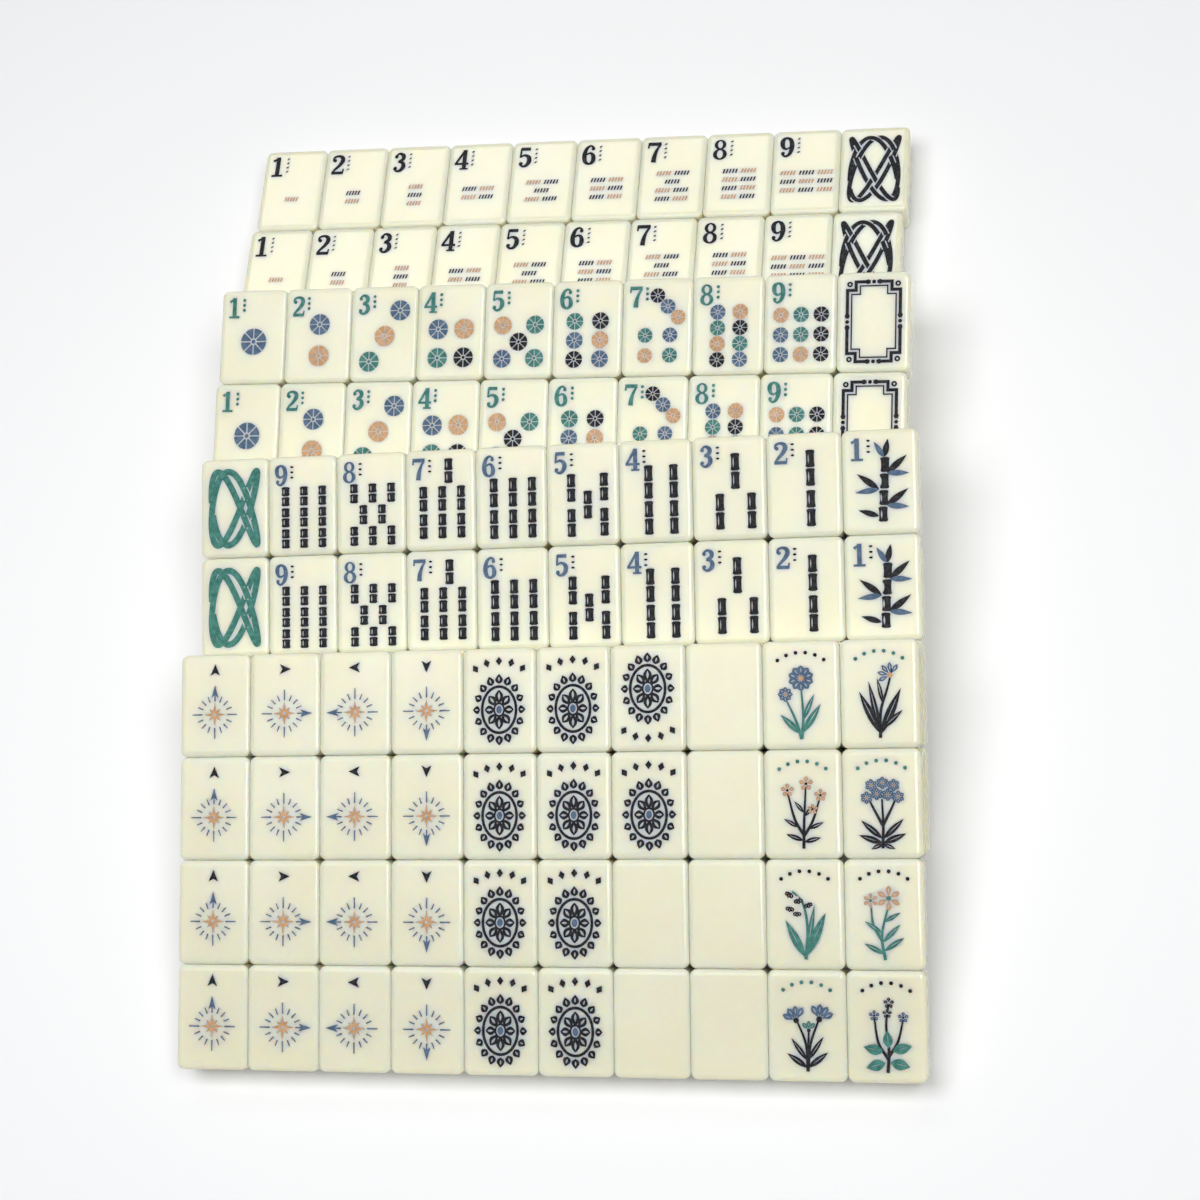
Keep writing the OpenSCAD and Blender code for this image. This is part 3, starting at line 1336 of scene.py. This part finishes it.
@dataclass(frozen=True)
class Arc:
    """Places along an arc at the top of a face: (-a sin t, c + b cos t), with t in equal steps.

    Attributes:
        count: How many.
        reach: a and b.
        level: c.
        half_angle: Greatest t, in degrees.
    """

    count: int
    reach: Pair
    level: float
    half_angle: float = 34.0

    def places(self) -> Iterator[tuple[Array, float]]:
        """The places, from the left.

        Yields:
            A place, and its t in degrees.
        """
        for turn in np.linspace(self.half_angle, -self.half_angle, self.count):
            t = math.radians(turn)
            yield np.array([-self.reach[0] * math.sin(t), self.level + self.reach[1] * math.cos(t)]), turn


@dataclass(frozen=True)
class LeafRing:
    """Leaves at equal angles in or round an oval, the first straight up.

    Attributes:
        count: How many.
        ends: Where each starts and ends, as shares of the oval's size.
        width: Width of each.
        points: Points along each side of one.
        belly: Share of its length at which each is widest.
    """

    count: int
    ends: Pair
    width: float
    points: int
    belly: float = 0.5

    def outlines(self, middle: Point, oval: Point) -> list[Array]:
        """The leaves of an oval.

        Args:
            middle: Its centre.
            oval: Half its width and half its height.

        Returns:
            Their outlines.
        """
        angles = math.pi / 2 + np.arange(self.count) * 2 * math.pi / self.count
        ways = np.column_stack([np.cos(angles), np.sin(angles)]) * oval
        start, end = self.ends
        return [
            leaf(middle + start * way, middle + end * way, self.width, self.points, self.belly)
            for way in ways
        ]


@dataclass
class JokerFace(Face):
    """A joker: a rosette in an oval, with leaves round it like a sun's rays, under an arc of lozenges.

    Attributes:
        middle: Centre of the oval.
        oval: Half its width and half its height.
        line: Width of its line.
        rays: Leaves round it.
        ray_lights: Light lines left standing in them.
        petals: Petals of the rosette.
        petal_lights: Light lines left standing in them.
        arc: Places of the lozenges.
    """

    middle: Pair = (0.0, -2.6)
    oval: Pair = (5.0, 6.6)
    line: float = 0.8
    rays: LeafRing = LeafRing(16, (1.12, 1.55), 2.3, 8, 0.4)
    ray_lights: LeafRing = LeafRing(16, (1.22, 1.43), 0.5, 5)
    petals: LeafRing = LeafRing(8, (0.16, 0.86), 2.5, 9, 0.6)
    petal_lights: LeafRing = LeafRing(8, (0.42, 0.76), 0.7, 6)
    arc: Arc = Arc(5, (12.4, 12.6), -1.3)

    # Radii, points and enamel of the rosette's eye, from the outside in
    EYE = (((1.7, 2.1), 20, Enamel.BLACK), ((1.2, 1.55), 18, None), ((0.8, 1.1), 14, Enamel.BLUE))
    LOZENGE = np.array([[0.0, -1.25], [0.95, 0.0], [0.0, 1.25], [-0.95, 0.0]])

    def patches(self) -> list[Patch]:
        """The rays, the oval, the rosette and the arc.

        Returns:
            The patches, in order.
        """
        black, half = Enamel.BLACK, self.line / 2
        at = self.middle, self.oval
        found = filled(self.rays.outlines(*at), black) + filled(self.ray_lights.outlines(*at), None)
        found += filled([ellipse(self.middle, np.add(self.oval, half), count=36)], black)
        found += filled([ellipse(self.middle, np.subtract(self.oval, half), count=36)], None)
        found += filled(self.petals.outlines(*at), black) + filled(self.petal_lights.outlines(*at), None)
        found += [Patch(ellipse(self.middle, radii, count), enamel) for radii, count, enamel in self.EYE]
        return found + filled([moved(self.LOZENGE, place, turn) for place, turn in self.arc.places()], black)


@dataclass(frozen=True)
class Bloom:
    """A flower head.

    Attributes:
        spot: Its centre.
        radius: Length of its petals.
        petals: How many.
        enamel: Their colour.
        eye: Colour of its centre.
        spread: Degrees that the petals take up. A full turn makes a rosette, and less a bell.
        facing: Degrees that the middle of the spread is turned from up.
        plump: Width of a petal, as a share of its length.
    """

    spot: Pair
    radius: float
    petals: int
    enamel: Enamel
    eye: Enamel | None
    spread: float = 360.0
    facing: float = 0.0
    plump: float = 0.62

    # Shares of a petal's length: where it starts and is widest, the ends and the width of its light line, and
    # the radius of the eye
    START, BELLY = 0.14, 0.62
    LIGHT_START, LIGHT_END, LIGHT_WIDTH = 0.42, 0.84, 0.1
    EYE = 0.2

    def patches(self) -> list[Patch]:
        """The petals, each with a light line, and the eye.

        Returns:
            The patches, in order.
        """
        spot = np.array(self.spot)
        whole = self.spread >= 360
        turns = np.arange(self.petals) * self.spread / (self.petals if whole else self.petals - 1)
        turns = turns + self.facing - (0 if whole else self.spread / 2)
        found = []
        for turn in np.radians(turns):
            way = np.array([-math.sin(turn), math.cos(turn)]) * self.radius
            width = self.plump * self.radius
            petal = leaf(spot + self.START * way, spot + way, width, count=8, belly=self.BELLY)
            ends = spot + self.LIGHT_START * way, spot + self.LIGHT_END * way
            light = leaf(*ends, self.LIGHT_WIDTH * self.radius, count=5)
            found += [Patch(petal, self.enamel), Patch(light, None)]
        return found + [Patch(disc(spot, self.EYE * self.radius, count=10), self.eye)]


@dataclass
class FlowerFace(Face):
    """A flower tile: a sprig of stems, leaves and blooms, under an arc of dots.

    Attributes:
        stems: Lines from the foot up, as points.
        stem_enamel: Their colour.
        leaves: Base, tip and width of each leaf.
        leaf_enamel: Their colour.
        blooms: The flower heads.
        dots_enamel: Colour of the arc.
        stem_widths: Width of a stem at its foot and at its top.
        leaf_belly: Share of a leaf's length at which it is widest.
        rib: Where a leaf's light midrib starts and ends, as shares of its length.
        rib_width: Width of the midrib.
        arc: Places of the dots.
        dot_radius: Their radius.
    """

    stems: list[list[Pair]]
    stem_enamel: Enamel
    leaves: list[tuple[Pair, Pair, float]]
    leaf_enamel: Enamel
    blooms: list[Bloom]
    dots_enamel: Enamel = Enamel.BLACK
    stem_widths: Pair = (0.9, 0.5)
    leaf_belly: float = 0.45
    rib: Pair = (0.25, 0.85)
    rib_width: float = 0.24
    arc: Arc = Arc(6, (11.5, 12.4), -0.6)
    dot_radius: float = 0.55

    def patches(self) -> list[Patch]:
        """The stems, leaves with their midribs, blooms and dots.

        Returns:
            The patches, in order.
        """
        found = []
        for points in self.stems:
            rows = np.column_stack([points, np.linspace(*self.stem_widths, len(points))])
            found += filled([stroke(rows, count=STRETCH_POINTS * len(points))], self.stem_enamel)
        for base, tip, width in self.leaves:
            ends = [base + share * np.subtract(tip, base) for share in self.rib]
            found += filled([leaf(base, tip, width, count=9, belly=self.leaf_belly)], self.leaf_enamel)
            found += filled([leaf(*ends, self.rib_width, count=5)], None)
        for bloom in self.blooms:
            found += bloom.patches()
        dots = [disc(place, self.dot_radius, count=9) for place, _ in self.arc.places()]
        return found + filled(dots, self.dots_enamel)


def flower_faces() -> list[FlowerFace]:
    """The eight sprigs, in the order of the flower tiles.

    Returns:
        Their faces.
    """
    black, blue, teal, tan = Enamel.BLACK, Enamel.BLUE, Enamel.TEAL, Enamel.TAN
    foot = (0.0, -12.2)
    daisy = FlowerFace(
        [[foot, (0.5, -6.0), (0.0, 2.4)], [foot, (-1.6, -7.0), (-4.2, -1.2)]], teal,
        [((0.2, -10.6), (5.4, -2.6), 2.0), ((-0.3, -10.8), (-5.8, -5.4), 1.9),
         ((0.3, -7.2), (3.6, 0.2), 1.5)], teal,
        [Bloom((0.0, 4.6), 3.6, 10, blue, tan), Bloom((-4.4, 0.2), 2.1, 8, blue, tan)],
    )
    berry = FlowerFace(
        [[foot, (0.2, -5.0), (0.8, 4.8)], [(0.0, -9.0), (2.6, -4.6), (4.6, 1.6)],
         [(0.0, -8.4), (-2.4, -4.0), (-4.2, 3.0)]], black,
        [((0.1, -10.4), (4.8, -9.2), 1.4), ((0.0, -10.0), (-4.8, -8.2), 1.4),
         ((1.4, -6.8), (5.6, -5.0), 1.2), ((-1.3, -6.4), (-5.4, -4.0), 1.2),
         ((0.3, -3.4), (3.0, -0.4), 1.1), ((0.2, -2.4), (-2.4, 0.8), 1.1)], black,
        [Bloom((0.9, 5.6), 2.0, 5, tan, black), Bloom((4.8, 2.4), 1.8, 5, tan, black),
         Bloom((-4.3, 3.8), 1.9, 5, tan, black), Bloom((2.6, -1.4), 1.5, 5, tan, black)], teal,
    )
    bells = FlowerFace(
        [[foot, (0.6, -4.0), (-0.6, 3.0), (-3.6, 6.4)]], teal,
        [((0.2, -11.4), (5.6, 0.4), 2.6), ((-0.2, -11.6), (-5.4, -1.6), 2.4),
         ((0.3, -10.8), (2.6, 2.6), 1.6)], teal,
        [Bloom((-3.8, 6.2), 1.9, 3, black, None, 70, 150), Bloom((-2.0, 4.6), 1.9, 3, black, None, 70, 190),
         Bloom((-4.0, 2.4), 1.8, 3, black, None, 70, 170), Bloom((0.6, 3.4), 1.8, 3, black, None, 70, 200),
         Bloom((-2.2, 1.0), 1.7, 3, black, None, 70, 180)],
    )
    trumpet = FlowerFace(
        [[foot, (-0.4, -5.0), (-2.8, 1.4)], [foot, (0.8, -5.0), (3.2, 1.8)],
         [foot, (0.2, -6.0), (0.4, -1.2)]], black,
        [((-0.1, -11.2), (-5.6, -7.4), 1.7), ((0.1, -11.2), (5.6, -7.0), 1.7),
         ((0.0, -9.4), (-4.4, -3.4), 1.4), ((0.1, -9.2), (4.4, -2.8), 1.4)], black,
        [Bloom((-3.0, 1.4), 4.0, 4, blue, black, 95, 20, 0.42),
         Bloom((3.3, 1.8), 4.2, 4, blue, black, 95, -20, 0.42),
         Bloom((0.4, -1.2), 2.6, 3, teal, black, 80, 0, 0.45)], teal,
    )
    reed = FlowerFace(
        [[foot, (0.2, -5.0), (2.0, 1.0), (3.6, 6.8)]], black,
        [((0.0, -11.4), (5.8, 1.4), 2.4), ((-0.1, -11.0), (-5.6, 0.6), 2.2), ((0.0, -10.4), (-3.0, 3.4), 1.7),
         ((0.3, -9.8), (6.2, -4.6), 1.6), ((0.9, -3.0), (-0.6, 4.2), 1.2)], black,
        [Bloom((3.0, 5.0), 3.6, 5, blue, tan, 150, 40, 0.34)], teal,
    )
    cluster = FlowerFace(
        [[foot, (0.2, -5.6), (0.0, 1.2)], [(0.1, -6.0), (-2.0, -2.0), (-3.6, 1.2)],
         [(0.1, -6.0), (2.2, -2.0), (3.8, 1.4)]], black,
        [((0.0, -10.8), (-6.4, -8.6), 1.8), ((0.1, -10.8), (6.4, -8.2), 1.8),
         ((0.0, -9.6), (-5.8, -4.6), 1.7), ((0.1, -9.6), (5.8, -4.2), 1.7),
         ((0.0, -11.0), (-3.2, -12.4), 1.2), ((0.1, -11.0), (3.4, -12.4), 1.2)], black,
        [Bloom(spot, 1.75, 6, blue, tan, plump=0.7) for spot in (
            (-4.2, 1.6), (-1.4, 2.6), (1.6, 2.4), (4.4, 1.8), (-2.9, 5.0), (0.2, 5.6), (3.2, 5.0),
        )], teal,
    )
    star = FlowerFace(
        [[foot, (-0.8, -5.6), (1.0, 2.0)], [(-0.5, -7.4), (-3.0, -3.0), (-3.6, 2.4)]], teal,
        [((-0.2, -10.6), (-5.6, -7.8), 1.5), ((-0.3, -9.8), (5.2, -6.2), 1.5),
         ((-0.5, -7.4), (4.2, -2.6), 1.4), ((-0.6, -5.0), (-5.4, -1.8), 1.3),
         ((-0.2, -2.0), (4.4, 0.6), 1.2)], teal,
        [Bloom((1.2, 4.4), 3.4, 6, tan, teal, plump=0.42), Bloom((-3.7, 3.8), 2.1, 6, tan, teal, plump=0.42)],
    )
    spray = FlowerFace(
        [[foot, (0.4, -6.0), (-0.2, 0.4), (0.6, 6.6)], [(0.2, -8.6), (-2.4, -4.2), (-3.4, 2.6)],
         [(0.3, -8.0), (2.8, -4.0), (4.4, 2.0)]], black,
        [((-0.6, -9.6), (-5.8, -11.0), 3.0), ((0.8, -9.4), (6.0, -10.6), 3.0),
         ((-1.2, -6.6), (-6.4, -5.4), 2.8), ((1.4, -6.4), (6.6, -5.0), 2.8),
         ((0.3, -5.6), (0.0, -1.0), 2.6)], teal,
        [Bloom((0.6, 6.4), 1.5, 5, black, None), Bloom((0.1, 3.6), 1.3, 5, black, None),
         Bloom((-3.4, 3.0), 1.5, 5, blue, black), Bloom((4.4, 2.6), 1.5, 5, blue, black)], black,
    )
    return [daisy, berry, bells, trumpet, reed, cluster, star, spray]


@dataclass(frozen=True)
class Finish:
    """A polished or painted surface with a mottled colour.

    Attributes:
        name: Its name, which is the material slot's.
        light: Paler colour.
        deep: Deeper colour.
        mottle: Mottles to the metre.
        spread: Range of the mottle that goes from the one colour to the other.
        roughness: Least and greatest.
        grain: Grains of the roughness and the bump to the metre.
        bump: Depth of the bump, in millimetres.
        ior: Index of refraction.
        gloss: Level of the mirrored light, 0.5 being that of the index.
        glow: Weight of the light that goes into the surface and comes out beside.
        glow_reach: How far that light goes, in millimetres.
    """

    name: str
    light: Colour
    deep: Colour
    mottle: float
    spread: Pair
    roughness: Pair
    grain: float
    bump: float
    ior: float = 1.5
    gloss: float = 0.5
    glow: float = 0.0
    glow_reach: float = 3.0

    MOTTLE_DETAIL = 3.0  # octaves of the noise
    GRAIN_DETAIL = 2.0
    GLOW_COLOUR = (1.0, 0.75, 0.4)  # how far red, green and blue light go, as shares of the reach

    def material(self) -> bpy.types.Material:
        """The material: noise mixes the colours, and finer noise gives the roughness and the bump.

        Returns:
            A new material.
        """
        made = bpy.data.materials.new(self.name)
        made.use_nodes = True
        tree = made.node_tree
        place = add_node(tree, "TexCoord", {}).outputs["Object"]
        mottle, grain = (
            add_node(tree, "TexNoise", {"Vector": place, "Scale": scale, "Detail": detail}).outputs["Fac"]
            for scale, detail in ((self.mottle, self.MOTTLE_DETAIL), (self.grain, self.GRAIN_DETAIL))
        )
        mix = add_node(tree, "ValToRGB", {"Fac": mottle})
        deep, light = mix.color_ramp.elements
        deep.position, light.position = self.spread
        deep.color, light.color = (*self.deep, 1.0), (*self.light, 1.0)
        smooth, rough = self.roughness
        sheen = add_node(tree, "MapRange", {"Value": grain, "To Min": smooth, "To Max": rough})
        bump = add_node(tree, "Bump", {"Height": grain, "Distance": self.bump * MM})
        shader = wire(tree, tree.nodes["Principled BSDF"], {
            "Base Color": mix.outputs["Color"],
            "Roughness": sheen.outputs["Result"],
            "Normal": bump.outputs["Normal"],
            "IOR": self.ior,
            "Specular IOR Level": self.gloss,
        })
        if self.glow:
            wire(tree, shader, {
                "Subsurface Weight": self.glow,
                "Subsurface Radius": self.GLOW_COLOUR,
                "Subsurface Scale": self.glow_reach * MM,
            })
        return made


def enamel_finish(
    name: str, light: Colour, deep: Colour, mottle: float = 700.0, spread: Pair = (0.35, 0.65)
) -> Finish:
    """The finish of an enamel: matt and rough, with its own colours and mottle."""
    return Finish(
        name, light, deep, mottle, spread, roughness=(0.5, 0.7), grain=2500.0, bump=0.02, gloss=0.15
    )


IVORY = Finish(
    "ivory_resin", (0.885, 0.865, 0.685), (0.86, 0.83, 0.625), mottle=45.0, spread=(0.3, 0.7),
    roughness=(0.08, 0.14), grain=700.0, bump=0.004, ior=1.6, glow=1.0, glow_reach=4.0,
)
ENAMEL_FINISHES = {
    Enamel.BLACK: enamel_finish(
        "black_enamel", (0.045, 0.045, 0.047), (0.006, 0.006, 0.007), mottle=1100.0, spread=(0.45, 0.75)
    ),
    Enamel.BLUE: enamel_finish("blue_enamel", (0.125, 0.19, 0.275), (0.06, 0.11, 0.18)),
    Enamel.TEAL: enamel_finish("teal_enamel", (0.085, 0.27, 0.225), (0.035, 0.155, 0.125)),
    Enamel.TAN: enamel_finish("tan_enamel", (0.69, 0.41, 0.205), (0.56, 0.31, 0.14)),
}


@dataclass
class MahjongSet:
    """All the tiles of the set, each in the place of its CAD solid.

    Attributes:
        top_number: Highest number of a suit.
        jokers: How many jokers.
        blanks: How many blanks.
        winds: Degrees from up of each wind, clockwise.
        turned_joker: The joker that lies upside down.
        snug: How much wider and longer than its solid a tile is drawn, in millimetres.
    """

    frame: dict
    top_number: int = 9
    jokers: int = 10
    blanks: int = 6
    winds: dict[str, float] = field(
        default_factory=lambda: {"north": 0.0, "east": 90.0, "south": 180.0, "west": 270.0}
    )
    turned_joker: str = "joker_tile_9"
    snug: float = 0.08

    def faces(self) -> Iterator[tuple[str, Face]]:
        """What is on the tiles of each node.

        Yields:
            A node's name and its face.
        """
        for number in range(1, self.top_number + 1):
            yield f"crak_{number}_tiles", CrakFace(number)
            yield f"dot_{number}_tiles", DotFace(number)
            yield f"bam_{number}_tiles", BamFace(number)
        yield "black_dragon_tiles", KnotFace(Enamel.BLACK)
        yield "green_dragon_tiles", KnotFace(Enamel.TEAL, waves=(2, 3), reach=(7.4, 11.2), band=1.9)
        yield "white_dragon_tiles", FrameFace()
        for wind, bearing in self.winds.items():
            yield f"{wind}_wind_tiles", WindFace(bearing)
        joker, blank = JokerFace(), Face()
        for number in range(1, self.jokers + 1):
            yield f"joker_tile_{number}", joker
        for number in range(1, self.blanks + 1):
            yield f"blank_tile_{number}", blank
        for number, flower in enumerate(flower_faces(), 1):
            yield f"flower_tile_{number}", flower

    def body_of(self, node: str) -> str:
        """The body that a node rides on."""
        bodies = self.frame["record"]["behaviour"]["bodies"]
        return next(body for body, nodes in bodies.items() if node in nodes)

    def build(self) -> None:
        """Makes every node's ivory, and each body's enamels, one piece for each colour."""
        ivory = IVORY.material()
        paints: dict[tuple[str, Enamel], list[Surface]] = {}
        cuts: dict[int, Engraving] = {}
        for node, face in list(self.faces()):  # the list keeps every face, so no two have one id
            places = read_places(self.frame["nodes"][node])
            if node == self.turned_joker:
                places = [place.turned() for place in places]
            block = TileBlock(*(places[0].size + (self.snug, self.snug, 0.0)))
            if id(face) not in cuts:
                cuts[id(face)] = Engraving.cut(block.border(), face.patches())
            cut = cuts[id(face)]
            surface = block.ivory(cut)
            tiles = mesh_piece(
                node.removesuffix("_tiles") + "_ivory", Surface.joined([surface.at(p) for p in places]), ivory
            )
            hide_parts(node)
            self.dress(tiles, self.body_of(node), IVORY)
            for colour in ENAMELS:
                paint = block.enamel(cut, colour)
                if paint is not None:
                    paints.setdefault((self.body_of(node), colour), []).extend(paint.at(p) for p in places)
        enamels = {colour: finish.material() for colour, finish in ENAMEL_FINISHES.items()}
        for (body, colour), parts in paints.items():
            finish = ENAMEL_FINISHES[colour]
            fills = mesh_piece(f"{body}_{finish.name}", Surface.joined(parts), enamels[colour])
            self.dress(fills, body, finish)

    def dress(self, piece: bpy.types.Object, body: str, finish: Finish) -> None:
        """Lets a piece ride with a body and reports it.

        Args:
            piece: The piece.
            body: The body's name.
            finish: The piece's finish. Not used.
        """
        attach(piece, body)
        log.info("%s: %d triangles", piece.name, len(piece.data.polygons))


@dataclass(frozen=True)
class Softbox:
    """An area lamp.

    Attributes:
        name: Its name.
        at: Its place, in metres.
        aim: What it points to.
        size: Width and height of its window.
        radiance: Brightness of the window. Its watts are radiance * pi * its area.
    """

    name: str
    at: Point
    aim: Point
    size: Pair
    radiance: float

    def build(self) -> None:
        """Makes the lamp."""
        data = bpy.data.lights.new(self.name, "AREA")
        data.shape, data.size, data.size_y = "RECTANGLE", *self.size
        data.energy = self.radiance * math.pi * self.size[0] * self.size[1]
        lamp = add_object(self.name, data)
        lamp.location = self.at
        lamp.rotation_euler = (Vector(self.aim) - Vector(self.at)).to_track_quat("-Z", "Y").to_euler()


@dataclass
class Studio:
    """The floor, the lamps and the camera.

    Attributes:
        floor_size: Side of the floor, in metres.
        floor_colour: Its colour.
        floor_roughness: Its roughness.
        floor_drop: How far it lies below the set, in metres.
        floor_edge: Distances from the set between which the floor passes into the backdrop.
        backdrop: Paleness of the surroundings, as the camera and mirrored rays see them.
        sky: Strength of the even light from all round.
        lamp_height: Height of the softbox overhead.
        top_x: Its middle along x.
        top_width: Its width.
        top_back: Its back end.
        top_steps: Where its front end steps down in brightness, and by how much.
        side_softboxes: The other lamps.
        camera_at: Place of the camera, in metres.
        camera_right: The picture's right, as a direction.
        camera_down: The picture's down.
        sensor: Width of its sensor, in millimetres.
        lens: Its focal length, in millimetres.
        clip: The nearest and the furthest that it sees, in metres.
    """

    floor_size: float = 8.0
    floor_colour: Colour = (0.915, 0.92, 0.93)
    floor_roughness: float = 0.8
    floor_drop: float = 0.0001
    floor_edge: Pair = (0.4, 1.4)
    backdrop: float = 0.93
    sky: float = 0.08
    lamp_height: float = 1.0
    top_x: float = -0.21
    top_width: float = 0.62
    top_back: float = 0.2
    top_steps: tuple[Pair, ...] = ((-0.43, 0.7), (-0.36, 1.3), (-0.29, 5.0))
    side_softboxes: tuple[Softbox, ...] = (
        Softbox("back_softbox", (-0.26, 0.74, 1.0), (-0.1, 0.15, 0.0), (0.8, 0.32), 1.9),
        Softbox("right_softbox", (0.44, -0.1, 1.0), (0.05, -0.06, 0.0), (0.6, 0.38), 6.8),
    )
    camera_at: tuple[float, float, float] = (0.14494, -0.19695, 0.57255)
    camera_right: tuple[float, float, float] = (0.97634, 0.07874, -0.20137)
    camera_down: tuple[float, float, float] = (0.00965, -0.94629, -0.32319)
    sensor: float = 36.0
    lens: float = 60.4
    clip: Pair = (0.01, 50.0)

    def build(self) -> None:
        """Makes the floor, the lamps, the sky and the camera."""
        self.floor()
        for softbox in (*self.top_softboxes(), *self.side_softboxes):
            softbox.build()
        self.surroundings()
        self.camera()
        bpy.context.scene.view_settings.view_transform = "Standard"

    def top_softboxes(self) -> Iterator[Softbox]:
        """The softbox overhead, as lamps that share its back end and add up to its steps.

        Yields:
            A lamp for each step.
        """
        for number, (front, radiance) in enumerate(self.top_steps, 1):
            middle = (front + self.top_back) / 2
            at, aim = (self.top_x, middle, self.lamp_height), (self.top_x, middle, 0.0)
            size = (self.top_width, self.top_back - front)
            yield Softbox(f"top_softbox_{number}", at, aim, size, radiance)

    def surroundings(self) -> None:
        """A sky that is faint as a light, and pale where it is seen."""
        world = bpy.data.worlds.new("studio_sky")
        world.use_nodes = True
        tree = world.node_tree
        seen = self.seen(tree)
        level = add_node(tree, "MapRange", {"Value": seen, "To Min": self.sky, "To Max": self.backdrop})
        wire(tree, tree.nodes["Background"], {"Color": WHITE, "Strength": level.outputs["Result"]})
        bpy.context.scene.world = world

    @staticmethod
    def seen(tree: bpy.types.NodeTree) -> bpy.types.NodeSocket:
        """Tells the rays that see from those that light.

        Args:
            tree: The nodes of a material or a world.

        Returns:
            A socket that is 1 for the camera's rays, also by a mirror or through glass, and 0 for others.
        """
        rays = add_node(tree, "LightPath", {}).outputs
        found = rays["Is Camera Ray"]
        for name in ("Is Glossy Ray", "Is Transmission Ray"):
            found = add_node(tree, "Math", {0: found, 1: rays[name]}, operation="MAXIMUM").outputs[0]
        return found

    def floor(self) -> None:
        """A plain floor just under the set, which passes into the pale backdrop far from it."""
        half = self.floor_size / 2
        mesh = bpy.data.meshes.new("floor")
        corners = [(-half, -half, 0), (half, -half, 0), (half, half, 0), (-half, half, 0)]
        mesh.from_pydata(corners, [], [(0, 1, 2, 3)])
        made = bpy.data.materials.new("floor")
        made.use_nodes = True
        tree = made.node_tree
        place = add_node(tree, "TexCoord", {}).outputs["Object"]
        away = add_node(tree, "VectorMath", {0: place}, operation="LENGTH").outputs["Value"]
        near, far = self.floor_edge
        fade = {"Value": away, "From Min": near, "From Max": far, "To Max": self.backdrop}
        pale = add_node(tree, "MapRange", fade, interpolation_type="SMOOTHSTEP").outputs["Result"]
        shown = add_node(tree, "Math", {0: pale, 1: self.seen(tree)}, operation="MULTIPLY")
        wire(tree, tree.nodes["Principled BSDF"], {
            "Base Color": (*self.floor_colour, 1.0),
            "Roughness": self.floor_roughness,
            "Emission Color": WHITE,
            "Emission Strength": shown.outputs[0],
        })
        mesh.materials.append(made)
        floor = add_object("floor", mesh)
        floor.location.z = -self.floor_drop

    def camera(self) -> None:
        """The camera, at the photograph's place."""
        data = bpy.data.cameras.new("camera")
        data.sensor_width, data.lens = self.sensor, self.lens
        data.clip_start, data.clip_end = self.clip
        camera = add_object("camera", data)
        right, up = Vector(self.camera_right), -Vector(self.camera_down)
        axes = Matrix((right, up, right.cross(up))).transposed().to_4x4()
        camera.matrix_world = Matrix.Translation(self.camera_at) @ axes
        bpy.context.scene.camera = camera


def main() -> None:
    """Builds the studio and the set."""
    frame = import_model()
    Studio().build()
    MahjongSet(frame).build()


if __name__ == "__main__":
    logging.basicConfig(level=logging.INFO, format="%(name)s %(message)s")
    main()
